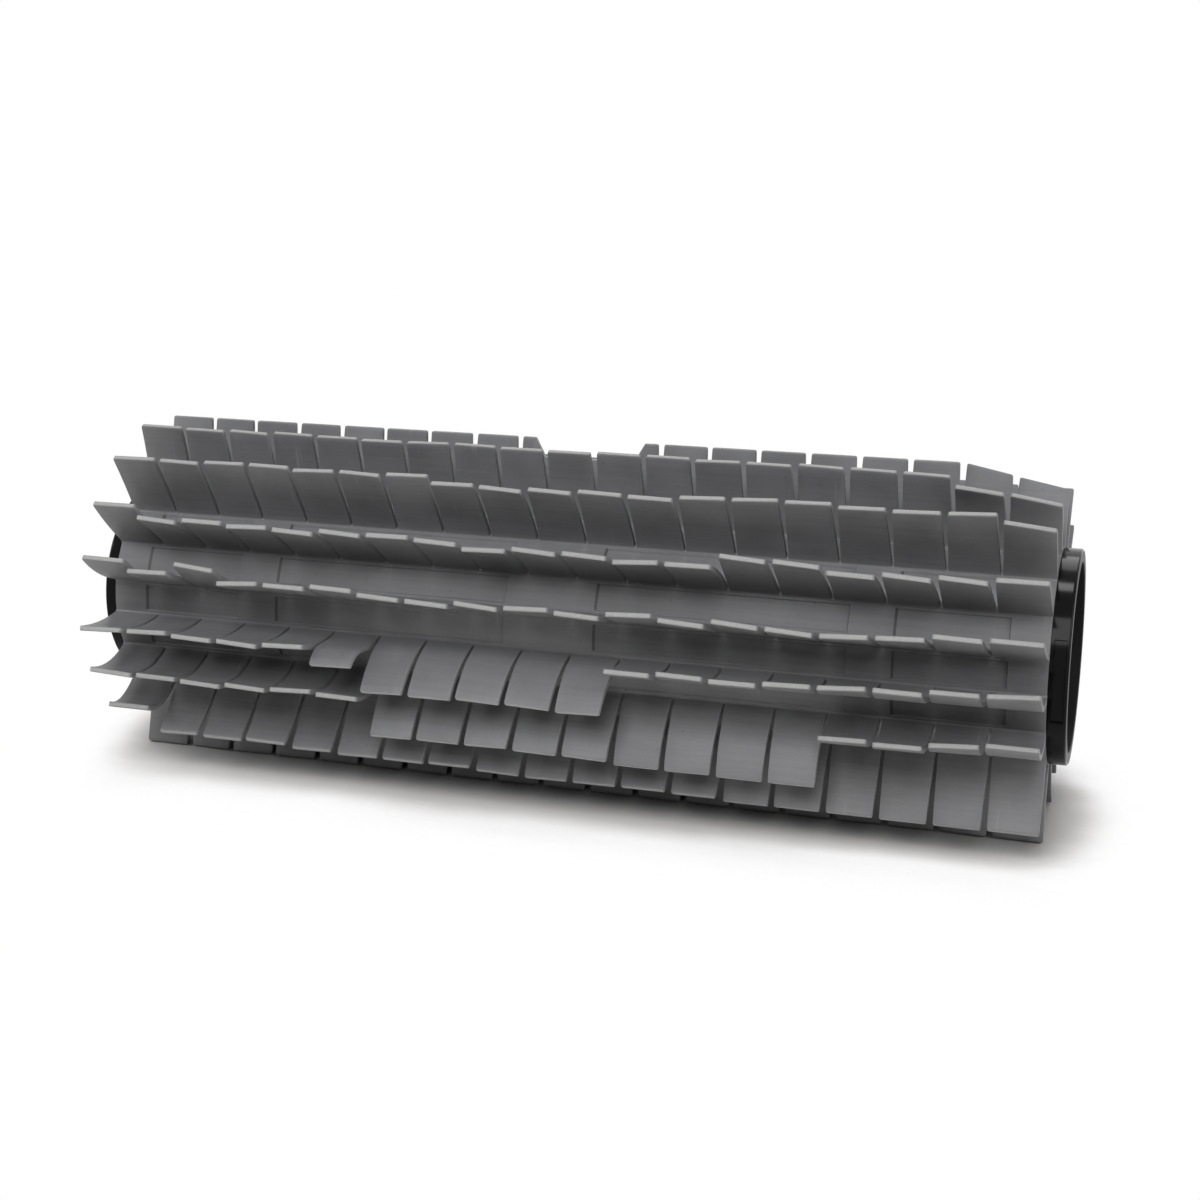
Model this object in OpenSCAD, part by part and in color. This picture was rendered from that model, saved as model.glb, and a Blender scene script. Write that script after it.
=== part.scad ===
// Roller brush: a slit-blade sheet wrapped round a hollow tube.
// Millimetres. X runs along the axis, Z is up, the origin is on the axis at mid-length of the tube.
// Angles are measured round the axis from -Y (0) towards +Z (90).

/* [Sheet] */
// Wall of the sheet between the rows
sheet_t = 2.2; // [1.6:0.1:3]
// Depth of the shallow panels between the rows
panel_depth = 0.6; // [0.3:0.1:1]
// Flat left along each row root beside a panel
root_rim = 0.9; // [0.6:0.1:1.6]
// Height of the unslit strip that a row stands on
strip_h = 0.4; // [0.3:0.1:0.8]
// How far that strip stands out on each side of a blade
strip_side = 0.3; // [0.2:0.1:0.6]
// Width of the seam where the wrapped sheet meets itself
seam_gap = 0.6; // [0.3:0.1:1.5]

/* [Blades] */
// Number of rows round the sheet
rows = 16; // [12:1:18]
// Spacing of the blades along a row
blade_pitch = 18; // [14:0.5:22]
// Free length of a blade from root to tip
blade_len = 27; // [20:1:30]
// Thickness of a blade at its root
blade_root_t = 2.4; // [2:0.1:3]
// Thickness of a blade at its tip
blade_tip_t = 1.9; // [1.4:0.1:2]
// Slit between two blades at the root
slit_root = 0.8; // [0.5:0.1:1.4]
// Slit between two blades at the tips
slit_tip = 2.2; // [1.5:0.1:3]
// Angle of the first row
first_row = 108.3; // [100:0.1:116]

/* [Notch and end cuts] */
// Width of the notch in the first row at the tips
notch_top = 42; // [36:1:48]
// Width of the notch at its floor
notch_floor = 34; // [26:1:36]
// Depth of the notch
notch_depth = 7; // [4:0.5:10]

// Most that the +X end of a row is cut down
end_cut = 7; // [3:0.5:10]

/* [Tube] */
// Diameter of the bore
bore_d = 65; // [56:1:74]
// Wall of the tube between its collars
tube_wall = 2.2; // [1.8:0.1:4]
// Radial gap between tube and sheet
wrap_gap = 0.1; // [0.05:0.05:0.3]
// Width of the collar at the -X end
collar_left = 4.3; // [3:0.1:8]
// Width of the collar at the +X end
collar_right = 6.4; // [5:0.1:9]
// Rounding of the outer edge of a collar
collar_round = 0.8; // [0.4:0.1:1.2]
// Depth of the pocket in the +X collar
pocket_depth = 0.8; // [0.4:0.1:1]
// Wall left on each side of the pocket
pocket_side = 1.1; // [0.8:0.1:1.6]
// Arc of the pocket in degrees
pocket_arc = 45; // [30:1:60]
// Angle of the middle of the pocket
pocket_mid = 5; // [0:1:90]

/* [Hidden] */
$fn = 96;
PER_ROW = 19;                       // blades in a row
EMBED = 1;                          // how far a root reaches into the sheet
OVER = 3;                           // how far a cut reaches past what it cuts
sheet_len = PER_ROW * blade_pitch;
core_r = bore_d / 2 + tube_wall;
sheet_in_r = core_r + wrap_gap;
sheet_r = sheet_in_r + sheet_t;     // outside of the sheet and of the collars
tip_r = sheet_r + blade_len;
tube_len = sheet_len + collar_left + collar_right;
x_left = -tube_len / 2;
x_right = tube_len / 2;
x_sheet = x_left + collar_left;     // -X end of the sheet
x_mid = x_sheet + sheet_len / 2;
row_step = 360 / rows;
strip_w = blade_root_t + 2 * strip_side;
panel_arc = row_step - (strip_w + 2 * root_rim) / sheet_r * 180 / PI;
pocket_w = collar_right - 2 * pocket_side;

// Panels along the sheet, from its middle, as parts of its half length
PANELS = [[0.096, 0.614], [0.702, 0.924]];

// Set of each row: [first blade, last blade, bend in degrees, up or towards a larger angle is positive]
BENDS = [
  [[1, 19, -8]],
  [[1, 19, -12]],
  [[1, 7, -4], [8, 12, -15], [13, 19, -6]],
  [[1, 1, 12], [2, 8, -11], [9, 13, -17], [14, 15, -4], [16, 19, -11]],
  [[1, 1, 30], [2, 2, 11], [3, 3, 25], [4, 6, 9], [7, 13, 4], [14, 17, 8], [18, 19, 16]],
  [[1, 5, 23], [6, 6, 8], [7, 11, -43], [12, 14, 33], [15, 19, 40]],
  [[1, 6, 48], [7, 11, -24], [12, 15, -42], [16, 19, 60]],
  [[1, 1, 45], [2, 4, 20], [5, 8, 11], [9, 13, 3], [14, 19, -8]],
  [[1, 19, 0]],
  [[1, 19, -48]]
];
SEAM_ROW = 10;                      // the seam follows this row
STEADY = [8, 9];                    // rows that hold the weight keep one exact shape
PLAIN_BENDS = [-9, 5, -4, 7, -6, 4];
// Rows cut down at the +X end: [row, blades, part of the full cut]
END_CUTS = [[0, 1, 0.5], [1, 2, 1], [2, 1, 0.5]];
WAVE = 2.5;                         // most that a blade's bend differs from its set
WAVE_STEPS = [97, 53];              // degrees of that wave from blade to blade and from row to row

function dir(a) = [-cos(a), sin(a)];
function row_angle(i) = first_row - i * row_step;
function is_steady(i) = len(search(i, STEADY)) > 0;
function set_bend(i, k) =
  i < len(BENDS) ? [for (g = BENDS[i]) if (k >= g[0] && k <= g[1]) g[2]][0]
                 : PLAIN_BENDS[(i - len(BENDS)) % len(PLAIN_BENDS)];
function wave(i, k) = is_steady(i) ? 0 : WAVE * sin(WAVE_STEPS[0] * k + WAVE_STEPS[1] * i);
function bend_of(i, k) = set_bend(i, k) + wave(i, k);
// Straight pieces that a blade's bend is drawn with
function segments(b) = abs(b) < 6 ? 1 : abs(b) < 20 ? 2 : abs(b) < 45 ? 3 : 4;

// Middle line of a blade: point j of n, each step as long as the others
function line_pt(a, b, n, j) =
  j == 0 ? sheet_r * dir(a) : line_pt(a, b, n, j - 1) + blade_len / n * dir(a + b * (j - 0.5) / n);
function half_t(n, j) = (blade_root_t + (blade_tip_t - blade_root_t) * j / n) / 2;
function side_pt(a, b, n, j, s) = line_pt(a, b, n, j) + s * half_t(n, j) * dir(a + b * j / n + 90);

module along_x(x, w) {
  translate([x, 0, 0]) rotate([90, 0, 90]) linear_extrude(height = w) children();
}

// Turns a profile drawn as [radius, x] round the X axis, with its middle at angle a
module sector(a, arc) {
  rotate([-a, 0, 0]) rotate([0, -90, 0]) rotate([0, 0, -90 - arc / 2])
    rotate_extrude(angle = arc) children();
}

// A shape drawn as [x, radius] stands in the plane at angle a, w thick
module row_plate_at(a, w) {
  rotate([-a, 0, 0]) linear_extrude(height = w, center = true) mirror([0, 1]) children();
}

module row_plate(i, w) {
  row_plate_at(row_angle(i), w) children();
}

// Half slit beside a blade, which widens from root to tip
function half_slit(r) = (slit_root + (slit_tip - slit_root) * (r - sheet_r) / blade_len) / 2;
// Side of slit k at radius r; a row starts and ends past the sheet and is trimmed with it
function slit_x(k, r, s) =
  x_sheet + k * blade_pitch + s * (k == 0 || k == PER_ROW ? -OVER : half_slit(r));

module blade(i, k) {
  a = row_angle(i);
  b = bend_of(i, k);
  n = segments(b);
  lo = sheet_r - EMBED - OVER;
  hi = tip_r + OVER;
  base = (sheet_r - EMBED) * dir(a);
  side = blade_root_t / 2 * dir(a + 90);
  intersection() {
    along_x(x_sheet - OVER, sheet_len + 2 * OVER)
      polygon(concat([base - side], [for (j = [0 : n]) side_pt(a, b, n, j, -1)],
                     [for (j = [n : -1 : 0]) side_pt(a, b, n, j, 1)], [base + side]));
    row_plate(i, 2 * tip_r)
      polygon([[slit_x(k - 1, lo, 1), lo], [slit_x(k - 1, hi, 1), hi],
               [slit_x(k, hi, -1), hi], [slit_x(k, lo, -1), lo]]);
  }
}

// The strip that row i stands on
module root_strip(i) {
  row_plate(i, strip_w)
    translate([x_sheet - OVER, sheet_r - EMBED]) square([sheet_len + 2 * OVER, EMBED + strip_h]);
}

module notch() {
  row_plate(0, blade_len / 2)
    polygon([[x_mid - notch_floor / 2, tip_r - notch_depth], [x_mid + notch_floor / 2, tip_r - notch_depth],
             [x_mid + notch_top / 2, tip_r], [x_mid + notch_top / 2, tip_r + OVER],
             [x_mid - notch_top / 2, tip_r + OVER], [x_mid - notch_top / 2, tip_r]]);
}

module end_cuts() {
  x1 = x_sheet + sheet_len;
  for (c = END_CUTS) {
    x0 = x1 - c[1] * blade_pitch;
    low = tip_r - end_cut * c[2];
    row_plate(c[0], blade_len / 2)
      polygon([[x0, tip_r], [x1, low], [x1 + 2 * OVER, low], [x1 + 2 * OVER, tip_r + OVER],
               [x0, tip_r + OVER]]);
  }
}

module panels() {
  for (i = [0 : rows - 1], p = PANELS, s = [-1, 1]) {
    w = (p[1] - p[0]) * sheet_len / 2;
    translate([x_mid + s * (p[0] + p[1]) * sheet_len / 4, 0, 0])
      sector(row_angle(i) - row_step / 2, panel_arc)
        translate([sheet_r - panel_depth, -w / 2]) square([panel_depth + OVER, w]);
  }
}

// The seam lies between two rows under the back
module seam() {
  row_plate_at(row_angle(SEAM_ROW) - row_step / 2, seam_gap)
    translate([x_sheet - OVER, core_r]) square([sheet_len + 2 * OVER, sheet_r - core_r + OVER]);
}

// Trims sheet and rows square at both ends
module ends() {
  for (x = [x_sheet - 3 * OVER, x_sheet + sheet_len]) along_x(x, 3 * OVER) circle(r = tip_r + OVER);
}

module brush_sheet() {
  color([0.42, 0.43, 0.45]) difference() {
    union() {
      along_x(x_sheet - 2 * OVER, sheet_len + 4 * OVER) circle(r = sheet_r);
      for (i = [0 : rows - 1]) root_strip(i);
      for (i = [0 : rows - 1], k = [1 : PER_ROW]) blade(i, k);
    }
    along_x(x_sheet - 3 * OVER, sheet_len + 6 * OVER) circle(r = sheet_in_r);
    ends();
    panels();
    notch();
    end_cuts();
    seam();
  }
}

// Section of the tube drawn as [radius, x]
module tube_section() {
  difference() {
    translate([bore_d / 2, x_left]) square([sheet_r - bore_d / 2, tube_len]);
    translate([core_r, x_sheet]) square([sheet_r - core_r + OVER, sheet_len]);
    for (e = [[x_left, 1], [x_right, -1]])
      translate([sheet_r - collar_round, e[0] + e[1] * collar_round]) difference() {
        scale([1, e[1]]) translate([0, -2 * collar_round]) square(2 * collar_round);
        circle(r = collar_round, $fn = 24);
      }
  }
}

module brush_tube() {
  color([0.05, 0.05, 0.055]) difference() {
    rotate([0, 90, 0]) rotate_extrude() tube_section();
    translate([x_right - collar_right / 2, 0, 0]) sector(pocket_mid, pocket_arc)
      translate([sheet_r - pocket_depth, -pocket_w / 2]) square([pocket_depth + OVER, pocket_w]);
  }
}

brush_tube();
brush_sheet();
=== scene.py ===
# %% [markdown]
# # A roller brush for a pool cleaner
# A stiff black tube carries a grey sheet of soft plastic. The sheet was moulded flat, with rows of thin
# blades standing on it, and then wrapped round the tube. The blades are what you see from a step away, so
# most of this lesson is about making about three hundred of them from one small mesh and one rule. The
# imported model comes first: it fixes every size and place, and the pieces made here are laid over it.

# %% Load the frame
import bpy, math
from mathutils import Matrix, Vector


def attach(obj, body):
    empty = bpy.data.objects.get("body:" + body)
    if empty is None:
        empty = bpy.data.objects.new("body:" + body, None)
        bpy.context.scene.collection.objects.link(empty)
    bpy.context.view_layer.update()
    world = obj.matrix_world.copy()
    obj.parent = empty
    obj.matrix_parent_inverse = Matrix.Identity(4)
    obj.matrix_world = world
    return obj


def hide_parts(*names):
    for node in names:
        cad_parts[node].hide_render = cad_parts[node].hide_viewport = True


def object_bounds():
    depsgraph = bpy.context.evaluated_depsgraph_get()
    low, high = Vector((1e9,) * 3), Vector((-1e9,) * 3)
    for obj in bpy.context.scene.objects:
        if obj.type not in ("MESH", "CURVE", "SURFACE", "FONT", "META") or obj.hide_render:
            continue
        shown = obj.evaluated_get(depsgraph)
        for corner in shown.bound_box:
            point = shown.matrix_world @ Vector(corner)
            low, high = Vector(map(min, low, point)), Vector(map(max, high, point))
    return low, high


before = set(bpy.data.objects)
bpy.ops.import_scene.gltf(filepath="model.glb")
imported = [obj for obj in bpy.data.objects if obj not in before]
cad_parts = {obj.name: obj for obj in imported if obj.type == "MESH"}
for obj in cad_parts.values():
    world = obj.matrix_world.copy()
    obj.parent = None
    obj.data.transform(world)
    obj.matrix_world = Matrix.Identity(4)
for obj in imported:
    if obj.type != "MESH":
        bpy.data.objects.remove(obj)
CAD_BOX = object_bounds()
MM = 0.001
print("nodes:", sorted(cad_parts), "box in mm:", [[round(c / MM, 1) for c in p] for p in CAD_BOX])

# %% [markdown]
# ## Camera
# The picture was taken from above and a little to the right, with a long lens. The angles and the place
# below were solved from the roots and tips of the blades. The picture is a crop, so the lens axis is not in
# its middle, and a small shift of the lens stands for that.

# %% Camera
PICTURE = 1200                      # width and height of the picture in pixels
FOCAL_PX = 2048.48                  # focal length in pixels of that picture
HEADING, LOOK_DOWN, ROLL = (math.radians(a) for a in (18.949, 16.396, 1.298))
CAMERA_AT = Vector((213.61, -679.97, 243.00)) * MM
LENS_SHIFT = (0.06, -0.06)
SENSOR = 36.0


def aim(heading, down, roll):
    """Rotation of a camera that looks along heading, tipped down and rolled."""
    ahead = Vector((-math.sin(heading), math.cos(heading), 0))
    right = Vector((math.cos(heading), math.sin(heading), 0))
    up = Vector((0, 0, 1))
    look = math.cos(down) * ahead - math.sin(down) * up
    below = -math.sin(down) * ahead - math.cos(down) * up
    side = math.cos(roll) * right + math.sin(roll) * below
    top = math.sin(roll) * right - math.cos(roll) * below
    return Matrix((side, top, -look)).transposed().to_4x4()


lens = bpy.data.cameras.new("photo_camera")
lens.sensor_width, lens.lens = SENSOR, FOCAL_PX * SENSOR / PICTURE
lens.shift_x, lens.shift_y = LENS_SHIFT
camera = bpy.data.objects.new("photo_camera", lens)
camera.matrix_world = Matrix.Translation(CAMERA_AT) @ aim(HEADING, LOOK_DOWN, ROLL)
bpy.context.scene.collection.objects.link(camera)
bpy.context.scene.camera = camera
print("lens %.1f mm, camera at %s" % (lens.lens, [round(c, 3) for c in CAMERA_AT]))

# %% [markdown]
# ## A shorthand for nodes
# Materials and Geometry Nodes are both graphs, and long sums are hard to follow as boxes and wires. `Wire`
# wraps one output, so that `a * 2 + b` makes the two Math nodes for us. `Board` adds any other node in one
# call: its type, its settings, which are set first, and what goes into its sockets.

# %% Wire and Board
class Wire:
    """An output socket that takes part in sums."""

    def __init__(self, board, socket):
        self.board, self.socket = board, socket

    def sum(self, operation, *others):
        terms = dict(enumerate((self,) + others))
        return self.board.add("ShaderNodeMath", {"operation": operation}, terms)["Value"]

    def __add__(self, other): return self.sum("ADD", other)
    def __radd__(self, other): return self.sum("ADD", other)
    def __mul__(self, other): return self.sum("MULTIPLY", other)
    def __rmul__(self, other): return self.sum("MULTIPLY", other)
    def __sub__(self, other): return self.sum("SUBTRACT", other)
    def __rsub__(self, other): return (self * -1).sum("ADD", other)
    def __truediv__(self, other): return self.sum("DIVIDE", other)
    def sin(self): return self.sum("SINE")
    def cos(self): return self.sum("COSINE")
    def size(self): return self.sum("ABSOLUTE")
    def at_least(self, low): return self.sum("MAXIMUM", low)
    def at_most(self, high): return self.sum("MINIMUM", high)
    def unit(self): return self.at_least(0.0).at_most(1.0)


class Board:
    """A node tree with one way to add a node to it."""

    def __init__(self, tree):
        self.tree = tree

    def add(self, kind, settings=None, inputs=None):
        node = self.tree.nodes.new(kind)
        for name, value in (settings or {}).items():
            if name == "stops":
                self.set_stops(node.color_ramp, value)
            else:
                setattr(node, name, value)
        for key, value in (inputs or {}).items():
            socket = node.inputs[key] if isinstance(key, int) else self.pick(node.inputs, key)
            if isinstance(value, Wire):
                self.tree.links.new(value.socket, socket)
            else:
                socket.default_value = value
        return Outputs(self, node)

    @staticmethod
    def pick(sockets, name):
        return next(s for s in sockets if s.name == name and s.enabled)

    @staticmethod
    def set_stops(ramp, stops):
        while len(ramp.elements) < len(stops):
            ramp.elements.new(0.5)
        for element, (place, colour) in zip(ramp.elements, stops):
            element.position, element.color = place, (*colour, 1.0)


class Outputs:
    """The outputs of a node, by name."""

    def __init__(self, board, node):
        self.board, self.node = board, node

    def __getitem__(self, name):
        return Wire(self.board, Board.pick(self.node.outputs, name))


def new_material(name):
    """A material with no nodes yet, and the board to work on."""
    material = bpy.data.materials.new(name)
    material.use_nodes = True
    material.node_tree.nodes.clear()
    return material, Board(material.node_tree)


print("shorthand ready")

# %% [markdown]
# ## Grey plastic of the sheet
# The sheet is soft PVC: dark grey and satin, with a few small specks, a faint cloudiness from the mould,
# and fine scratches. The faces have a smooth skin, and the cut edges are much paler: partly rough, scuffed
# plastic, partly a painted highlight where light catches the tips, sides and ends, and that is what draws
# the light lines along the rows. The short walls at the ends of the panels are darkened by painted shade.
# The patterns follow each blade: every point carries `flat_place`, where it lay when the sheet was
# still flat, so nothing is stretched where a blade bends.

# %% Sheet plastic
SHEET_GREY = (0.138, 0.139, 0.143)
# pale cut edges: scuffed plastic, and partly a painted highlight where light catches tips, sides and ends
SCUFFED_AND_LIT_EDGE_GREY = (0.28, 0.28, 0.276)
SPECK_GREY = (0.03, 0.03, 0.031)
SCRATCH_GREY = (0.21, 0.212, 0.218)
WALL_SHADE_DEPTH = 0.55                   # how much darker the painted shade makes the most shaded walls
CLOUDS, GRAIN, STAINS, SCRATCHES, PATCHES, DRAG, SPECKS = 60, 2600, 23, 420, 55, 700, 260   # spots in a metre
SCRATCH_TURN = 0.9                  # the way that the scratches run, in radians
SHEET_ROUGH, SHEET_SHINE = 0.46, 0.2
SKIN_HEIGHT = 0.00012               # height of the finest bumps, in metres


def sheet_plastic():
    material, b = new_material("satin_grey_pvc")
    flat = b.add("ShaderNodeAttribute", {"attribute_name": "flat_place"})["Vector"]
    shade = b.add("ShaderNodeAttribute", {"attribute_name": "blade_shade"})["Fac"]
    edge = b.add("ShaderNodeAttribute", {"attribute_name": "edge"})["Fac"]
    dirt = b.add("ShaderNodeAttribute", {"attribute_name": "dirt"})["Fac"]

    def noise(scale, detail, spread=(1, 1, 1), turn=0.0, shift=0.0):
        place = b.add("ShaderNodeMapping", {}, {"Vector": flat, "Scale": spread, "Rotation": (0, 0, turn),
                                                "Location": (shift, shift, 0)})["Vector"]
        return b.add("ShaderNodeTexNoise", {}, {"Vector": place, "Scale": scale, "Detail": detail})["Fac"]

    clouds = noise(CLOUDS, 3)
    grain = noise(GRAIN, 2)
    stain = ((noise(STAINS, 4, shift=0.4) - 0.56) * 7).unit()
    scratch = ((noise(SCRATCHES, 2, (1, 0.04, 1), turn=SCRATCH_TURN) - 0.67) * 14).unit()
    scratch = scratch * ((noise(PATCHES, 1) - 0.5) * 8).unit()
    drag = noise(DRAG, 2, (0.03, 1, 1), shift=0.7) - 0.5
    cells = b.add("ShaderNodeTexVoronoi", {"feature": "F1"}, {"Vector": flat, "Scale": SPECKS})
    pick = b.add("ShaderNodeSeparateColor", {}, {"Color": cells["Color"]})
    speck = ((0.10 - cells["Distance"]) * 16).unit() * ((pick["Red"] - 0.86) * 60).unit()

    tone = 1 + shade * 0.07 + (clouds - 0.5) * 0.36 + drag * 0.22 - stain * 0.07 + (grain - 0.5) * 0.18
    # painted shade on the short walls of the panels
    tone = tone * (1 - dirt * WALL_SHADE_DEPTH)
    grey = b.add("ShaderNodeVectorMath", {"operation": "SCALE"}, {0: SHEET_GREY, "Scale": tone})["Vector"]

    def over(below, share, colour):
        """The colour laid over what is below, by a share that varies."""
        return b.add("ShaderNodeMix", {"data_type": "RGBA"},
                     {"Factor": share, "A": below, "B": (*colour, 1)})["Result"]

    worn = over(grey, scratch * 0.45, SCRATCH_GREY)
    # the cut edges are laid over in the pale grey: scuff, and partly a painted highlight
    rim = over(worn, (edge * (0.84 + (grain - 0.5) * 1.0)).unit(), SCUFFED_AND_LIT_EDGE_GREY)
    final = over(rim, speck * 0.6, SPECK_GREY)
    rough = SHEET_ROUGH + (clouds - 0.5) * 0.25 + stain * 0.08 + edge * 0.2
    height = grain + clouds * 0.6 - scratch * 0.5 - speck * 0.5
    bump = b.add("ShaderNodeBump", {}, {"Strength": 0.25, "Distance": SKIN_HEIGHT,
                                        "Height": height})["Normal"]
    skin = b.add("ShaderNodeBsdfPrincipled", {}, {"Base Color": final, "Roughness": rough, "Normal": bump,
                                                  "IOR": 1.5, "Specular IOR Level": SHEET_SHINE})
    b.add("ShaderNodeOutputMaterial", {}, {"Surface": skin["BSDF"]})
    return material


SHEET_PVC = sheet_plastic()
print("material", SHEET_PVC.name, "nodes", len(SHEET_PVC.node_tree.nodes))

# %% [markdown]
# ## Black plastic of the tube
# The tube is glossy black, so its shape is read from reflections alone. A little dust and handling change
# the gloss from place to place. The end faces, which were trimmed, are duller and slightly paler, and the
# bore, which nobody polishes, is dull and dusty, or it would shine like metal when you look along it.

# %% Tube plastic
TUBE_BLACK = (0.002, 0.002, 0.0022)
DUST_GREY = (0.06, 0.06, 0.06)
SMUDGES, DUST = 45.0, 1500.0        # spots in a metre
TUBE_ROUGH, TUBE_SHINE = 0.13, 0.09
SMUDGE_HEIGHT = 0.0001              # in metres


def tube_plastic():
    material, b = new_material("gloss_black_plastic")
    place = b.add("ShaderNodeTexCoord")["Object"]
    trimmed = b.add("ShaderNodeAttribute", {"attribute_name": "trimmed"})["Fac"]
    bore = b.add("ShaderNodeAttribute", {"attribute_name": "bore"})["Fac"]
    smudge = b.add("ShaderNodeTexNoise", {}, {"Vector": place, "Scale": SMUDGES, "Detail": 4.0})["Fac"]
    grain = b.add("ShaderNodeTexNoise", {}, {"Vector": place, "Scale": DUST, "Detail": 2.0})["Fac"]
    dust = ((smudge - 0.52) * 5).unit() * ((grain - 0.45) * 3).unit() * 0.10
    dust = dust + trimmed * (0.10 + (grain - 0.5) * 0.4) + bore * 0.15
    colour = b.add("ShaderNodeMix", {"data_type": "RGBA"},
                   {"Factor": dust.unit(), "A": (*TUBE_BLACK, 1), "B": (*DUST_GREY, 1)})["Result"]
    rough = TUBE_ROUGH + (smudge - 0.5) * 0.16 + trimmed * 0.25 + bore * 0.5
    bump = b.add("ShaderNodeBump", {}, {"Strength": 0.15, "Distance": SMUDGE_HEIGHT,
                                        "Height": smudge * 2 + grain * (0.15 + trimmed)})["Normal"]
    skin = b.add("ShaderNodeBsdfPrincipled", {}, {"Base Color": colour, "Roughness": rough, "Normal": bump,
                                                  "IOR": 1.5, "Specular IOR Level": TUBE_SHINE})
    b.add("ShaderNodeOutputMaterial", {}, {"Surface": skin["BSDF"]})
    return material


TUBE_GLOSS = tube_plastic()
for name, finish in (("brush_tube", TUBE_GLOSS), ("brush_sheet", SHEET_PVC)):
    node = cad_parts[name]
    node.data.materials.clear()
    node.data.materials.append(finish)
print("material", TUBE_GLOSS.name)

# %% [markdown]
# ## Sizes
# These are the sizes of the part's own source, in millimetres. Angles go round the axis from the side
# nearest the camera (0) up to the top (90).

# %% Sizes
BORE_R, CORE_R, SHEET_IN_R, SHEET_R = 32.5, 34.7, 34.8, 37.0
BLADE_LEN, ROOT_T, TIP_T = 27.0, 2.4, 1.9
PITCH, PER_ROW, ROWS = 18.0, 19, 16
SLIT_ROOT, SLIT_TIP = 0.8, 2.2
PANEL_DEPTH, ROOT_RIM, STRIP_H, STRIP_W, SEAM_GAP = 0.6, 0.9, 0.4, 3.0, 0.6
COLLAR_LEFT, COLLAR_RIGHT, COLLAR_ROUND = 4.3, 6.4, 0.8
POCKET_DEPTH, POCKET_SIDE, POCKET_ARC, POCKET_MID = 0.8, 1.1, 45.0, 5.0
NOTCH_TOP, NOTCH_FLOOR, NOTCH_DEPTH, END_CUT = 42.0, 34.0, 7.0, 7.0
FIRST_ROW, ROW_STEP = 108.3, 360.0 / ROWS
SHEET_LEN = PER_ROW * PITCH
TUBE_LEN = SHEET_LEN + COLLAR_LEFT + COLLAR_RIGHT
TUBE_X = (-TUBE_LEN / 2, TUBE_LEN / 2)
SHEET_X = (TUBE_X[0] + COLLAR_LEFT, TUBE_X[1] - COLLAR_RIGHT)
MID_X = sum(SHEET_X) / 2
PANELS = ((0.096, 0.614), (0.702, 0.924))
SEAM_ANGLE = FIRST_ROW - 10.5 * ROW_STEP
print("sheet from %.2f to %.2f mm, seam at %.1f degrees" % (*SHEET_X, SEAM_ANGLE))

# %% [markdown]
# ## Turned shapes
# Tube and sheet are both rings, so one helper makes them: it sweeps a closed outline of (x, radius) through
# a list of angles. A second function says how much each point lies lower or higher, which presses the
# pocket and the panels into the ring. A ring that isn't closed, like the wrapped sheet, gets its two end
# walls.

# %% Ring helper
SHARP_RING = math.radians(28)       # edges that turn more than this stay sharp


def ramp(value, width):
    """0 below zero, 1 above width, and even in between."""
    return min(max(value / width, 0.0), 1.0)


def swept_ring(name, outline, angles, relief, closed):
    """Mesh of an outline of (x, radius) swept through the angles; relief moves each point outwards."""
    points, faces, count = [], [], len(outline)
    for angle in angles:
        turn = math.radians(angle)
        for x, radius in outline:
            r = radius + relief(x, radius, angle)
            points.append((x * MM, -r * math.cos(turn) * MM, r * math.sin(turn) * MM))
    strips = len(angles) if closed else len(angles) - 1
    for j in range(strips):
        a, b = j * count, (j + 1) % len(angles) * count
        for k in range(count):
            n = (k + 1) % count
            faces.append((a + k, a + n, b + n, b + k))
    if not closed:
        half, last = count // 2, (len(angles) - 1) * count
        for k in range(half - 1):
            faces.append((k, count - 1 - k, count - 2 - k, k + 1))
            faces.append((last + k, last + k + 1, last + count - 2 - k, last + count - 1 - k))
    mesh = bpy.data.meshes.new(name)
    mesh.from_pydata(points, [], faces)
    mesh.polygons.foreach_set("use_smooth", [True] * len(mesh.polygons))
    mesh.set_sharp_from_angle(angle=SHARP_RING)
    return mesh


def add_numbers(mesh, name, values, kind="FLOAT", domain="POINT"):
    """Stores one number or vector for each point."""
    slot = mesh.attributes.new(name, kind, domain)
    slot.data.foreach_set("vector" if kind == "FLOAT_VECTOR" else "value", values)


def show(name, mesh):
    piece = bpy.data.objects.new(name, mesh)
    bpy.context.scene.collection.objects.link(piece)
    return piece


print("ring helper ready")

# %% [markdown]
# ## The tube
# The outline runs along the outside, over the rounded edge of each collar and back through the bore. The
# pocket in the right collar has its own angle lines close together, so that its walls stay steep.

# %% Tube
def rounded_edge(x, r, radius, sides, steps=6):
    """Points of a rounded outer edge, from one side to the other."""
    centre_x, centre_r = x + sides * radius, r - radius
    turn = range(steps + 1) if sides > 0 else range(steps, -1, -1)
    return [(centre_x - sides * radius * math.cos(t * math.pi / 2 / steps),
             centre_r + radius * math.sin(t * math.pi / 2 / steps)) for t in turn]


EASE, WALL = 0.25, 0.18             # small breaks of the edges, and the run of the pocket's walls
HAIR = 0.01                         # closer than this counts as the same place
TUBE_STEP = 2                       # degrees from one line of the tube's mesh to the next
POCKET_X = (SHEET_X[1] + POCKET_SIDE, TUBE_X[1] - POCKET_SIDE)


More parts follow.
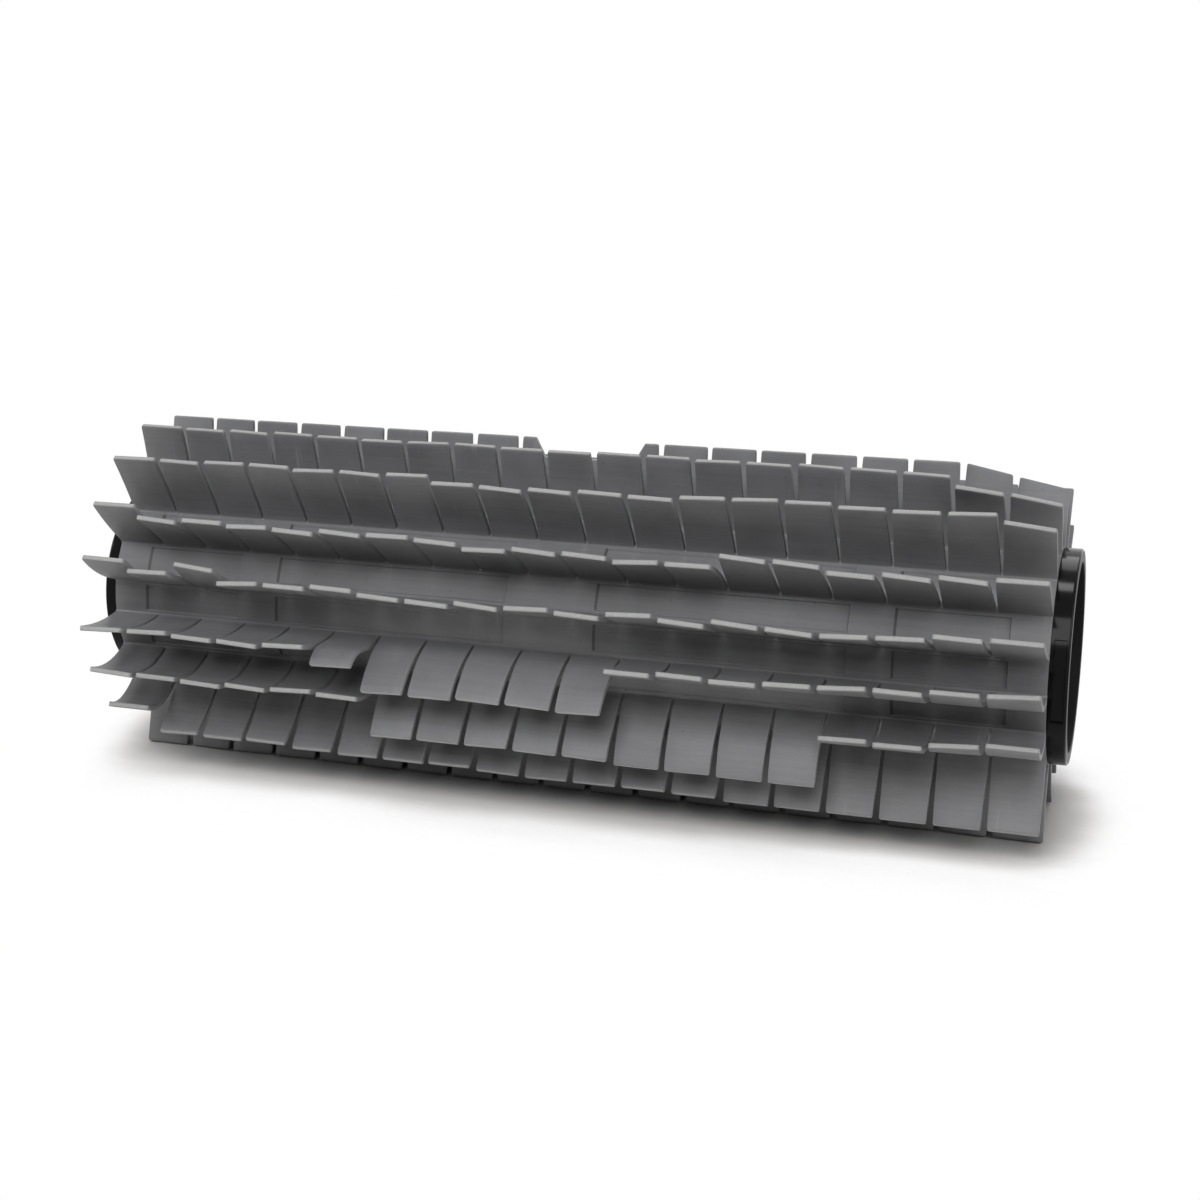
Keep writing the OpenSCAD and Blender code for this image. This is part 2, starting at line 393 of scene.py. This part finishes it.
def tube_outline():
    (x0, x1), (s0, s1) = TUBE_X, SHEET_X
    outline = [(x0, BORE_R + EASE)] + rounded_edge(x0, SHEET_R, COLLAR_ROUND, 1)
    outline += [(s0 - EASE / 2, SHEET_R), (s0, SHEET_R - EASE / 2), (s0, CORE_R), (s1, CORE_R)]
    outline += [(s1, SHEET_R - EASE / 2), (s1 + EASE / 2, SHEET_R)]
    outline += [(x, SHEET_R) for x in (POCKET_X[0], POCKET_X[0] + WALL, POCKET_X[1] - WALL, POCKET_X[1])]
    return outline + rounded_edge(x1, SHEET_R, COLLAR_ROUND, -1) + [(x1, BORE_R + EASE), (x1 - EASE, BORE_R),
                                                                    (x0 + EASE, BORE_R)]


def pocket(x, radius, angle):
    if radius < SHEET_R - HAIR:
        return 0.0
    arc = (POCKET_ARC / 2 - abs(angle - POCKET_MID)) * math.pi / 180 * SHEET_R
    return -POCKET_DEPTH * min(ramp(arc, WALL), ramp(x - POCKET_X[0], WALL), ramp(POCKET_X[1] - x, WALL))


wall_angle = WALL / SHEET_R * 180 / math.pi
tube_angles = sorted([-180.0 + TUBE_STEP * j for j in range(360 // TUBE_STEP)]
                     + [POCKET_MID + s * (POCKET_ARC / 2 - w) for s in (-1, 1) for w in (0, wall_angle)])
tube_mesh = swept_ring("collared_tube", tube_outline(), tube_angles, pocket, closed=True)
ends = [float(abs(abs(v.co.x) - TUBE_X[1] * MM) < HAIR * MM) for v in tube_mesh.vertices]
inside = [float(v.co.yz.length < (BORE_R + HAIR) * MM) for v in tube_mesh.vertices]
add_numbers(tube_mesh, "trimmed", ends)
add_numbers(tube_mesh, "bore", inside)
tube_mesh.materials.append(TUBE_GLOSS)
tube = show("collared_tube", tube_mesh)
print("tube:", len(tube_mesh.polygons), "faces, box", [round(d / MM, 1) for d in tube.dimensions])

# %% [markdown]
# ## The wrapped sheet
# Between the rows the sheet has shallow panels, and each row stands on a low strip. Both follow from how
# far a point is from the nearest row, measured along the surface, so the relief is a short sum. Lines of
# the mesh lie only where the height changes, and a few more keep the ring round. Faces that step down along
# x are the short walls of the panels, and are marked for painted shade.

# %% Sheet
MM_TO_DEG = 180 / math.pi / SHEET_R
END_SCUFF_AND_LIT = 0.5                      # how much of the pale cut edge, scuffed and partly a painted highlight, the sheet's two ends show
STRIP_SLOPE, PANEL_SLOPE = 0.4, 0.35
LEFT_SLOPE = 0.9                    # run of the walls at the panels' left ends, which are less steep
RIGHT_WALL_SHADE = 0.3                       # painted shade on the walls at their right ends, beside 1 at the left ones


def row_distance(angle):
    """Distance along the surface from the nearest row, in mm."""
    off = (angle - FIRST_ROW) % ROW_STEP
    return min(off, ROW_STEP - off) / MM_TO_DEG


def panel_spans():
    half = SHEET_LEN / 2
    return sorted((MID_X + s * p[0] * half, MID_X + s * p[1] * half)[::s] for s in (-1, 1) for p in PANELS)


SPANS = panel_spans()


def sheet_relief(x, radius, angle):
    if radius < SHEET_R - EASE - HAIR:
        return 0.0
    off = row_distance(angle)
    along = max(min(ramp(x - lo, LEFT_SLOPE), ramp(hi - x, PANEL_SLOPE)) for lo, hi in SPANS)
    across = ramp(off - STRIP_W / 2 - ROOT_RIM, PANEL_SLOPE)
    return STRIP_H * ramp(STRIP_W / 2 + STRIP_SLOPE / 2 - off, STRIP_SLOPE) - PANEL_DEPTH * min(along, across)


def sheet_lines():
    """x lines of the outline, and the angle lines from one side of the seam to the other."""
    xs = [SHEET_X[0] + EASE, SHEET_X[1] - EASE]
    for lo, hi in SPANS:
        xs += [lo, lo + LEFT_SLOPE, hi - PANEL_SLOPE, hi]
    steps = [STRIP_W / 2 - STRIP_SLOPE / 2, STRIP_W / 2 + STRIP_SLOPE / 2, STRIP_W / 2 + ROOT_RIM,
             STRIP_W / 2 + ROOT_RIM + PANEL_SLOPE]
    half_row = ROW_STEP / 2 / MM_TO_DEG
    steps += [steps[-1] + (half_row - steps[-1]) * f for f in (0.33, 0.67)]
    offsets = [0.0, half_row] + steps + [-s for s in steps]
    seam = SEAM_GAP / 2 * MM_TO_DEG
    first = SEAM_ANGLE + ROW_STEP / 2
    lines = {round(first + s * MM_TO_DEG + i * ROW_STEP, 4) for i in range(ROWS) for s in offsets}
    inside = [a for a in lines if SEAM_ANGLE + seam < a < SEAM_ANGLE + 360 - seam]
    return sorted(xs), sorted(inside + [SEAM_ANGLE + seam, SEAM_ANGLE + 360 - seam])


xs, sheet_angles = sheet_lines()
outline = [(SHEET_X[0], SHEET_R - EASE)] + [(x, SHEET_R) for x in xs] + [(SHEET_X[1], SHEET_R - EASE)]
outline += [(x, SHEET_IN_R) for x in [SHEET_X[1]] + xs[::-1] + [SHEET_X[0]]]
sheet_mesh = swept_ring("bladed_sheet", outline, sheet_angles, sheet_relief, closed=False)
place = []
for v in sheet_mesh.vertices:
    place += [v.co.x, math.atan2(v.co.z, -v.co.y) * SHEET_R * MM, 0.0]
add_numbers(sheet_mesh, "flat_place", place, "FLOAT_VECTOR")
add_numbers(sheet_mesh, "edge", [END_SCUFF_AND_LIT if abs(v.co.x - MID_X * MM) > (SHEET_LEN / 2 - HAIR) * MM else 0.0
                                 for v in sheet_mesh.vertices])
# the panels' walls get painted shade: full at their left ends, less at their right ends
dirt = []
for face in sheet_mesh.polygons:
    radii = [sheet_mesh.vertices[v].co.yz.length / MM for v in face.vertices]
    drop = radii[0] - radii[1] if min(radii) > SHEET_R - PANEL_DEPTH - EASE else 0.0
    dirt.append(0.0 if abs(drop) < PANEL_DEPTH / 2 else 1.0 if drop > 0 else RIGHT_WALL_SHADE)
add_numbers(sheet_mesh, "dirt", dirt, domain="FACE")
sheet = show("bladed_sheet", sheet_mesh)
print("sheet:", len(sheet_mesh.polygons), "faces,", len(sheet_angles), "angle lines")

# %% [markdown]
# ## One blade
# A blade is a slab with rounded edges and corners, drawn once in units of its own: x from -1 to 1 across, y
# -1 or 1 for its two faces, z from 0 at the root to 1 at the tip. Roundings can't be drawn in those units,
# since they must stay the same size on every blade, so each point also carries how far it is set in, in
# metres. Two lines across the middle can be moved, and they make the corners of the notch.

# %% Blade template
EDGE_ROUND = 0.3
RISE = [(-1.0, 0.0), (0.0, 0.35), (0.3, 0.14), (0.8, 0.0)]   # height over the sheet, and the fillet there, mm
# Height under the tip, how far set in across and through, in mm, and how much of the pale cut edge shows:
# scuffed, and partly a painted highlight.
TIP = [(-0.9, 0.0, 0.0, 0.0), (-0.4, 0.08, 0.05, 0.0), (-0.12, 0.30, 0.18, 0.5), (0.0, 0.75, 0.48, 1.0)]
SIDE_SCUFF_AND_LIT = 0.45                    # the same share of pale cut edge, scuffed and partly a painted highlight, on the blade's two sides
MIDDLE_LEVELS = 8                   # cross sections between root and tip, which make the bend round
THIRD = 0.33                        # where the two movable lines lie when nothing moves them
QUARTER_STEPS = 2                   # pieces of each rounded corner


def blade_ring():
    """Points round a blade: side, face, movable line, and how far they are set in across and through."""
    turns = [t * math.pi / 2 / QUARTER_STEPS for t in range(QUARTER_STEPS + 1)]
    quarter = [((1 - math.cos(t)) * EDGE_ROUND, (1 - math.sin(t)) * EDGE_ROUND) for t in turns]
    ring = []
    for side, face, order in ((-1, -1, 1), (1, -1, -1), (1, 1, 1), (-1, 1, -1)):
        ring += [(side, face, 0, across, through) for across, through in quarter[::order]]
        if (side, face) in ((-1, -1), (1, 1)):
            ring += [(-THIRD, face, 1, 0, 0), (THIRD, face, 2, 0, 0)][::-face]
    return ring


def blade_template():
    """The slab: rings of points from below the root to the tip."""
    ring = blade_ring()
    levels = [(0.0, height, fillet, 0.0, 0.0, 0.0) for height, fillet in RISE]
    levels += [((j + 1) / (MIDDLE_LEVELS + 1), 0.0, 0.0, 0.0, 0.0, 0.0) for j in range(MIDDLE_LEVELS)]
    levels += [(1.0, height, 0.0, across, through, pale) for height, across, through, pale in TIP]
    points, sets = [], {"set_across": [], "set_through": [], "set_along": [], "moved_line": [], "edge": []}
    for z, along, fillet, tip_across, tip_through, pale in levels:
        for side, face, line, across, through in ring:
            points.append((side, face, z))
            sets["set_across"].append((across + tip_across) * MM)
            sets["set_through"].append((through + tip_through - fillet) * MM)
            sets["set_along"].append(along * MM)
            sets["moved_line"].append(line)
            sets["edge"].append(max(pale, SIDE_SCUFF_AND_LIT * (through > 0.9 * EDGE_ROUND)))
    n = len(ring)
    faces = [(a * n + k, a * n + (k + 1) % n, (a + 1) * n + (k + 1) % n, (a + 1) * n + k)
             for a in range(len(levels) - 1) for k in range(n)]
    top = (len(levels) - 1) * n
    low = [i for i, p in enumerate(ring) if p[1] < 0]
    high = [i for i, p in enumerate(ring) if p[1] > 0][::-1]
    faces += [(top + low[i], top + low[i + 1], top + high[i + 1], top + high[i]) for i in range(len(low) - 1)]
    faces.append(tuple(range(n))[::-1])
    mesh = bpy.data.meshes.new("blade")
    mesh.from_pydata(points, [], faces)
    for name, values in sets.items():
        add_numbers(mesh, name, values)
    return mesh


blade = show("blade", blade_template())
print("blade:", len(blade.data.vertices), "points", len(blade.data.polygons), "faces")

# %% [markdown]
# ## Where the blades stand
# One point for each blade carries its row's angle, how far it is bent, the slits on its two sides, and what
# is cut off its tip. The bends are the ones of the part's source: rows that were pushed down in the box
# keep their set, and the rest stand nearly straight. A few single blades took a set of their own: at the
# right end the upper ones hang lower and the others stand higher, one is twisted, and one is curled over at
# its tip.

# %% Blade places
BENDS = [
    [(1, 19, -8)],
    [(1, 19, -12)],
    [(1, 7, -4), (8, 12, -15), (13, 19, -6)],
    [(1, 1, 12), (2, 8, -11), (9, 13, -17), (14, 15, -4), (16, 19, -11)],
    [(1, 1, 30), (2, 2, 11), (3, 3, 25), (4, 6, 9), (7, 13, 4), (14, 17, 8), (18, 19, 16)],
    [(1, 5, 23), (6, 6, 8), (7, 11, -43), (12, 14, 33), (15, 19, 40)],
    [(1, 6, 48), (7, 11, -24), (12, 15, -42), (16, 19, 60)],
    [(1, 1, 45), (2, 4, 20), (5, 8, 11), (9, 13, 3), (14, 19, -8)],
    [(1, 19, 0)],
    [(1, 19, -48)],
]
PLAIN_BENDS = (-9, 5, -4, 7, -6, 4)
STEADY = (8, 9)
END_CUTS = {0: (2, 1.0), 1: (2, 1.0), 2: (1, 0.5)}
WAVE, WAVE_STEPS = 2.5, (97, 53)    # sway of single blades, and how it steps along a row and from row to row
SLIT_SHARE = 1.0                    # about what a slit takes from each side of a blade, in mm
OWN_SET = {                         # row, blade: more bend, twist, curl, in degrees
    (0, 18): (12, 0, 0), (0, 19): (20, 0, 0), (1, 18): (-26, 0, 0), (1, 19): (-26, 0, 0), (2, 19): (-9, 0, 0),
    (3, 19): (8, 0, 0), (4, 3): (0, -5, 0), (4, 12): (9, 0, 0), (4, 19): (5, 0, 0), (5, 6): (14, 0, -70),
    (5, 18): (9, 0, 0), (5, 19): (13, 0, 0), (6, 18): (12, 0, 0), (6, 19): (15, 0, 0), (7, 1): (10, 0, 25),
}


def bend_of(i, k):
    """Bend of blade k in row i, in degrees."""
    if i < len(BENDS):
        rest = next(bend for first, last, bend in BENDS[i] if first <= k <= last)
    else:
        rest = PLAIN_BENDS[(i - len(BENDS)) % len(PLAIN_BENDS)]
    sway = 0 if i in STEADY else WAVE * math.sin(math.radians(WAVE_STEPS[0] * k + WAVE_STEPS[1] * i))
    return rest + sway


def moved_lines(i, k):
    """Where the two movable lines of a blade lie, from -1 to 1; in the notched row they are its corners."""
    middle = SHEET_X[0] + (k - 0.5) * PITCH
    corners = sorted(s * w / 2 for s in (-1, 1) for w in (NOTCH_TOP, NOTCH_FLOOR))
    half = PITCH / 2 - SLIT_SHARE
    inside = [(MID_X + c - middle) / half for c in corners if abs(MID_X + c - middle) < half - SLIT_SHARE]
    return tuple(inside) if i == 0 and len(inside) == 2 else (-THIRD, THIRD)


def blade_places():
    count = ROWS * PER_ROW
    values = {name: [] for name in ("row_angle", "bend", "twist", "curl", "left_x", "right_x", "left_slit",
                                    "right_slit", "line_1", "line_2", "notched", "end_share", "end_from",
                                    "row_number")}
    for i in range(ROWS):
        span, share = END_CUTS.get(i, (1, 0.0))
        cut_from = (SHEET_X[1] - span * PITCH) * MM
        for k in range(1, PER_ROW + 1):
            left, right = ((SHEET_X[0] + n * PITCH) * MM for n in (k - 1, k))
            more, twist, curl = OWN_SET.get((i, k), (0, 0, 0))
            turns = (math.radians(a) for a in (FIRST_ROW - i * ROW_STEP, bend_of(i, k) + more, twist, curl))
            row = (*turns, left, right, float(k > 1), float(k < PER_ROW), *moved_lines(i, k), float(i == 0),
                   share, cut_from, i)
            for name, value in zip(values, row):
                values[name].append(value)
    mesh = bpy.data.meshes.new("blade_places")
    mesh.from_pydata([(0, 0, 0)] * count, [], [])
    for name, numbers in values.items():
        add_numbers(mesh, name, numbers)
    return mesh


places = show("blade_places", blade_places())
print("blades:", len(places.data.vertices), "in", ROWS, "rows of", PER_ROW)

# %% [markdown]
# ## Blades by Geometry Nodes
# The tree puts the template on every point, makes the copies real, and then moves each point of each copy
# by one rule. A blade bends evenly, so its middle line is an arc: `curve` radians for each metre. From the
# root, the arc reaches sin(curve * s) / curve outwards and (1 - cos(curve * s)) / curve sideways. Near the
# tip a second arc with a curve of its own takes over, and a curled tip is only a tighter second arc. A
# straight blade would divide by zero, so no curve is taken as flatter than a hair.

# %% Blade tree
FLATTEST = 0.002                    # least bend, in radians
FLAT_FROM, FLAT_STEP = 0.2, 0.05    # where the rows lie in `flat_place`, clear of the sheet's own, in metres


def blade_tree():
    tree = bpy.data.node_groups.new("slit_blades", "GeometryNodeTree")
    b, wanted = Board(tree), {}
    for kind, names in (("Geometry", ("Sheet",)), ("Object", ("Places", "Blade")),
                        ("Float", ("Sheet radius", "Blade length", "Root thickness", "Tip thickness",
                                   "Root slit", "Tip slit", "Notch top", "Notch floor", "Notch depth",
                                   "Middle", "End cut", "Row end", "Skew", "Curl from")),
                        ("Int", ("Seed",)), ("Material", ("Material",))):
        for name in names:
            socket = tree.interface.new_socket(name=name, in_out="INPUT", socket_type="NodeSocket" + kind)
            wanted[name] = socket.identifier
    tree.interface.new_socket(name="Geometry", in_out="OUTPUT", socket_type="NodeSocketGeometry")
    size = b.add("NodeGroupInput")

    def carried(name):
        return b.add("GeometryNodeInputNamedAttribute", {"data_type": "FLOAT"}, {"Name": name})["Attribute"]

    def store(geometry, name, value, kind="FLOAT"):
        return b.add("GeometryNodeStoreNamedAttribute", {"data_type": kind, "domain": "POINT"},
                     {"Geometry": geometry, "Name": name, "Value": value})["Geometry"]

    def chance(low, high, seed):
        limits = {"Min": low, "Max": high, "Seed": seed}
        return b.add("FunctionNodeRandomValue", {"data_type": "FLOAT"}, limits)["Value"]

    points = b.add("GeometryNodeObjectInfo", {}, {"Object": size["Places"]})["Geometry"]
    points = store(points, "blade_shade", chance(-1.0, 1.0, size["Seed"]))
    points = store(points, "skew", chance(size["Skew"] * -1, size["Skew"], size["Seed"] + 1))
    template = b.add("GeometryNodeObjectInfo", {}, {"Object": size["Blade"]})["Geometry"]
    copies = b.add("GeometryNodeInstanceOnPoints", {}, {"Points": points, "Instance": template})["Instances"]
    blades = b.add("GeometryNodeRealizeInstances", {}, {"Geometry": copies})["Geometry"]

    unit = b.add("ShaderNodeSeparateXYZ", {}, {"Vector": b.add("GeometryNodeInputPosition")["Position"]})
    line = carried("moved_line")
    is_first, is_second = 1 - (line - 1).size().unit(), 1 - (line - 2).size().unit()
    fixed = 1 - is_first - is_second
    across = unit["X"] * fixed + carried("line_1") * is_first + carried("line_2") * is_second
    length, radius = size["Blade length"], size["Sheet radius"]
    up = unit["Z"]

    def never_flat(turn):
        return turn.size().at_least(FLATTEST) * (turn.sum("GREATER_THAN", 0.0) * 2 - 1)

    bend = never_flat(carried("bend") + (carried("skew") + carried("twist")) * across)
    first_part = size["Curl from"]
    curve = bend / length
    tip_curve = never_flat(bend * (1 - first_part) + carried("curl")) / (length * (1 - first_part))
    reach = radius + (curve * up * length).sin() / curve
    half_slit = (size["Root slit"] + (size["Tip slit"] - size["Root slit"]) * (reach - radius) / length) * 0.5
    left = carried("left_x") + carried("left_slit") * half_slit
    right = carried("right_x") - carried("right_slit") * half_slit
    inset = carried("set_across") * unit["X"].sum("SIGN") * fixed
    x = (left + right) * 0.5 + (right - left) * 0.5 * across - inset

    slope = (size["Notch top"] - size["Notch floor"]) * 0.5
    notch = ((size["Notch top"] * 0.5 - (x - size["Middle"]).size()) / slope).unit() * size["Notch depth"]
    trim = ((x - carried("end_from")) / (size["Row end"] - carried("end_from"))).unit() * size["End cut"]
    short = carried("notched") * notch + carried("end_share") * trim
    s = up * (length - short) + carried("set_along")
    half = (size["Root thickness"] + (size["Tip thickness"] - size["Root thickness"]) * up) * 0.5
    through = unit["Y"] * (half - carried("set_through"))
    below = s.at_most(first_part * length)
    early = curve * below
    turned = early + tip_curve * (s - below)
    outwards = radius + early.sin() / curve + (turned.sin() - early.sin()) / tip_curve
    outwards = outwards - through * turned.sin()
    sideways = (1 - early.cos()) / curve + (early.cos() - turned.cos()) / tip_curve + through * turned.cos()
    angle = carried("row_angle")
    y = sideways * angle.sin() - outwards * angle.cos()
    z = outwards * angle.sin() + sideways * angle.cos()

    def vector(a, c, d):
        return b.add("ShaderNodeCombineXYZ", {}, {"X": a, "Y": c, "Z": d})["Vector"]

    flat = vector(x, s + carried("row_number") * FLAT_STEP + FLAT_FROM, through)
    blades = store(blades, "flat_place", flat, "FLOAT_VECTOR")
    blades = b.add("GeometryNodeSetPosition", {},
                   {"Geometry": blades, "Position": vector(x, y, z)})["Geometry"]
    joined = b.add("GeometryNodeJoinGeometry", {}, {"Geometry": blades})
    tree.links.new(size["Sheet"].socket, joined.node.inputs["Geometry"])
    done = b.add("GeometryNodeSetMaterial", {},
                 {"Geometry": joined["Geometry"], "Material": size["Material"]})
    b.add("NodeGroupOutput", {}, {"Geometry": done["Geometry"]})
    return tree, wanted


BLADE_TREE, BLADE_SOCKETS = blade_tree()
print("tree:", len(BLADE_TREE.nodes), "nodes")

# %% [markdown]
# A modifier's inputs are set by the identifier of each socket, all of them before the piece is first
# evaluated. The result is then kept as a plain mesh, and the modifier and the helpers go.

# %% Blades on the sheet
SKEW = 0.04                         # most that one side of a blade is bent more than its middle, in radians
CURL_FROM = 0.6                     # share of a blade's length after which a curl begins
SEED = 7
SHARP_BLADE = math.radians(38)      # edges of a blade that turn more than this stay sharp
settings = {
    "Places": places, "Blade": blade, "Sheet radius": SHEET_R * MM, "Blade length": BLADE_LEN * MM,
    "Root thickness": ROOT_T * MM, "Tip thickness": TIP_T * MM,
    "Root slit": SLIT_ROOT * MM, "Tip slit": SLIT_TIP * MM,
    "Notch top": NOTCH_TOP * MM, "Notch floor": NOTCH_FLOOR * MM, "Notch depth": NOTCH_DEPTH * MM,
    "Middle": MID_X * MM, "End cut": END_CUT * MM, "Row end": SHEET_X[1] * MM, "Skew": SKEW,
    "Curl from": CURL_FROM, "Seed": SEED, "Material": SHEET_PVC,
}


def make_plain(piece, tree, sockets, values):
    """Runs a tree on a piece and keeps the result as its mesh."""
    step = piece.modifiers.new("blades", "NODES")
    step.node_group = tree
    for name, value in values.items():
        step[sockets[name]] = value
    graph = bpy.context.evaluated_depsgraph_get()
    mesh = bpy.data.meshes.new_from_object(piece.evaluated_get(graph), preserve_all_data_layers=True,
                                           depsgraph=graph)
    piece.modifiers.clear()
    piece.data = mesh
    mesh.polygons.foreach_set("use_smooth", [True] * len(mesh.polygons))
    mesh.set_sharp_from_angle(angle=SHARP_BLADE)
    return mesh


blade_mesh = make_plain(sheet, BLADE_TREE, BLADE_SOCKETS, settings)
for helper in (places, blade):
    bpy.data.objects.remove(helper)
blade_mesh.calc_loop_triangles()
box = [[round(f(v.co[a] for v in blade_mesh.vertices) / MM, 2) for a in range(3)] for f in (min, max)]
print("sheet with blades:", len(blade_mesh.loop_triangles), "triangles, box in mm", box)

# %% [markdown]
# ## Tie the pieces to the model
# Each piece takes the place of one node of the imported model, which is hidden, and moves with its body.

# %% Ride and replace
for piece, node, finish in ((tube, "brush_tube", "tube"), (sheet, "brush_sheet", "sheet")):
    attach(piece, "root")
    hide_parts(node)
print("pieces tied:", tube.name, sheet.name)

# %% [markdown]
# ## Studio
# The brush stands on plain white, with a soft shadow only close to it. A white floor in even light
# does most of it. An Ambient Occlusion node tells how much of the sky over a point is hidden by something
# near. Where nothing is hidden, the floor is pure white for the camera and for reflections, so that no
# horizon shows. Close to the brush it stays a real surface that keeps the shadow, and its colour is
# darkened there too, a painted shadow that deepens with the hidden share. The world is white in the
# same way, and gives the object itself only a weak, even light.

# %% Floor and world
FLOOR_Z = CAD_BOX[0][2]
FLOOR_WHITE = (0.93, 0.915, 0.905)
FLOOR_HALF = 4.0                    # half its side, in metres
FLOOR_ROUGH = 0.9
NEAR = 0.036                        # how near the brush has to be to darken the floor, in metres
SHADOW_AT = 0.26                    # hidden share from which the floor is only a surface
SHADOW_DEPTH = 0.9                  # how dark the painted shadow makes the floor where all of the sky is hidden
WORLD_LIGHT = 0.08                  # the even light from all sides


def seen_rays(b):
    """1 for rays of the camera and for what gloss and clear materials show, 0 for light."""
    path = b.add("ShaderNodeLightPath")
    return path["Is Camera Ray"].at_least(path["Is Glossy Ray"]).at_least(path["Is Transmission Ray"])


def studio_floor():
    material, b = new_material("pale_floor")
    hidden = 1 - b.add("ShaderNodeAmbientOcclusion", {"samples": 16}, {"Distance": NEAR})["AO"]
    shadow = b.add("ShaderNodeMapRange", {"interpolation_type": "SMOOTHSTEP"},
                   {"Value": hidden, "From Max": SHADOW_AT})["Result"]
    place = b.add("ShaderNodeTexCoord")["Object"]
    cloud = b.add("ShaderNodeTexNoise", {}, {"Vector": place, "Scale": 1.5, "Detail": 2.0})["Fac"]
    # painted shadow: the floor's colour is darkened where the sky is hidden
    tone = (0.995 + cloud * 0.01) * (1 - hidden * SHADOW_DEPTH)
    colour = b.add("ShaderNodeVectorMath", {"operation": "SCALE"}, {0: FLOOR_WHITE, "Scale": tone})
    skin = b.add("ShaderNodeBsdfPrincipled", {}, {"Base Color": colour["Vector"], "Roughness": FLOOR_ROUGH})
    white = b.add("ShaderNodeEmission", {}, {"Color": (1, 1, 1, 1), "Strength": 1.0})
    share = seen_rays(b) * (1 - shadow)
    both = b.add("ShaderNodeMixShader", {}, {0: share, 1: skin["BSDF"], 2: white["Emission"]})
    b.add("ShaderNodeOutputMaterial", {}, {"Surface": both["Shader"]})
    mesh = bpy.data.meshes.new("studio_floor")
    corners = [(x * FLOOR_HALF, y * FLOOR_HALF, FLOOR_Z) for x, y in ((-1, -1), (1, -1), (1, 1), (-1, 1))]
    mesh.from_pydata(corners, [], [(0, 1, 2, 3)])
    mesh.materials.append(material)
    show("studio_floor", mesh)


def white_world():
    world = bpy.data.worlds.new("studio")
    bpy.context.scene.world = world
    world.use_nodes = True
    world.node_tree.nodes.clear()
    b = Board(world.node_tree)
    strength = WORLD_LIGHT + seen_rays(b) * (1 - WORLD_LIGHT)
    sky = b.add("ShaderNodeBackground", {}, {"Color": (1, 1, 1, 1), "Strength": strength})
    b.add("ShaderNodeOutputWorld", {}, {"Surface": sky["Background"]})


studio_floor()
white_world()
print("floor at %.1f mm" % (FLOOR_Z / MM))

# %% [markdown]
# ## Lamps
# The main softbox stands in front at 45 degrees: it lights the tips and the sheet between the rows, and
# leaves the undersides of the blades in shade. One on each side reaches along the grooves and lights the
# slits and the ends. A small one above gives the right collar its spot of light, and a weak one behind
# keeps the back from going black. Each is described by the level it gives: 1 is the light in which a white
# card looks just white.

# %% Lamps
def softbox(name, azimuth, elevation, distance, width, height, level):
    """An area lamp aimed at the brush; azimuth 0 is the front, 90 the right end."""
    turn, rise = math.radians(azimuth), math.radians(elevation)
    away = Vector((math.sin(turn) * math.cos(rise), -math.cos(turn) * math.cos(rise), math.sin(rise)))
    lamp = bpy.data.lights.new(name, "AREA")
    lamp.shape, lamp.size, lamp.size_y = "RECTANGLE", width, height
    lamp.energy = level * (math.pi * distance) ** 2
    item = bpy.data.objects.new(name, lamp)
    item.location = away * distance
    item.rotation_mode = "QUATERNION"
    item.rotation_quaternion = away.to_track_quat("Z", "Y")
    bpy.context.scene.collection.objects.link(item)


LAMPS = (                           # azimuth, elevation, distance in m, width and height in m, level
    ("lamp_front", 0, 45, 1.6, 1.2, 0.8, 0.80),
    ("lamp_left", -75, 25, 1.6, 0.9, 0.9, 0.50),
    ("lamp_right", 75, 25, 1.6, 0.9, 0.9, 0.46),
    ("lamp_above", 0, 96, 1.4, 0.25, 0.25, 0.20),
    ("lamp_back", 180, 45, 1.6, 1.0, 0.8, 0.40),
)
for lamp in LAMPS:
    softbox(*lamp)
scene = bpy.context.scene
scene.view_settings.view_transform = "Standard"
print("lamps:", [lamp[0] for lamp in LAMPS])
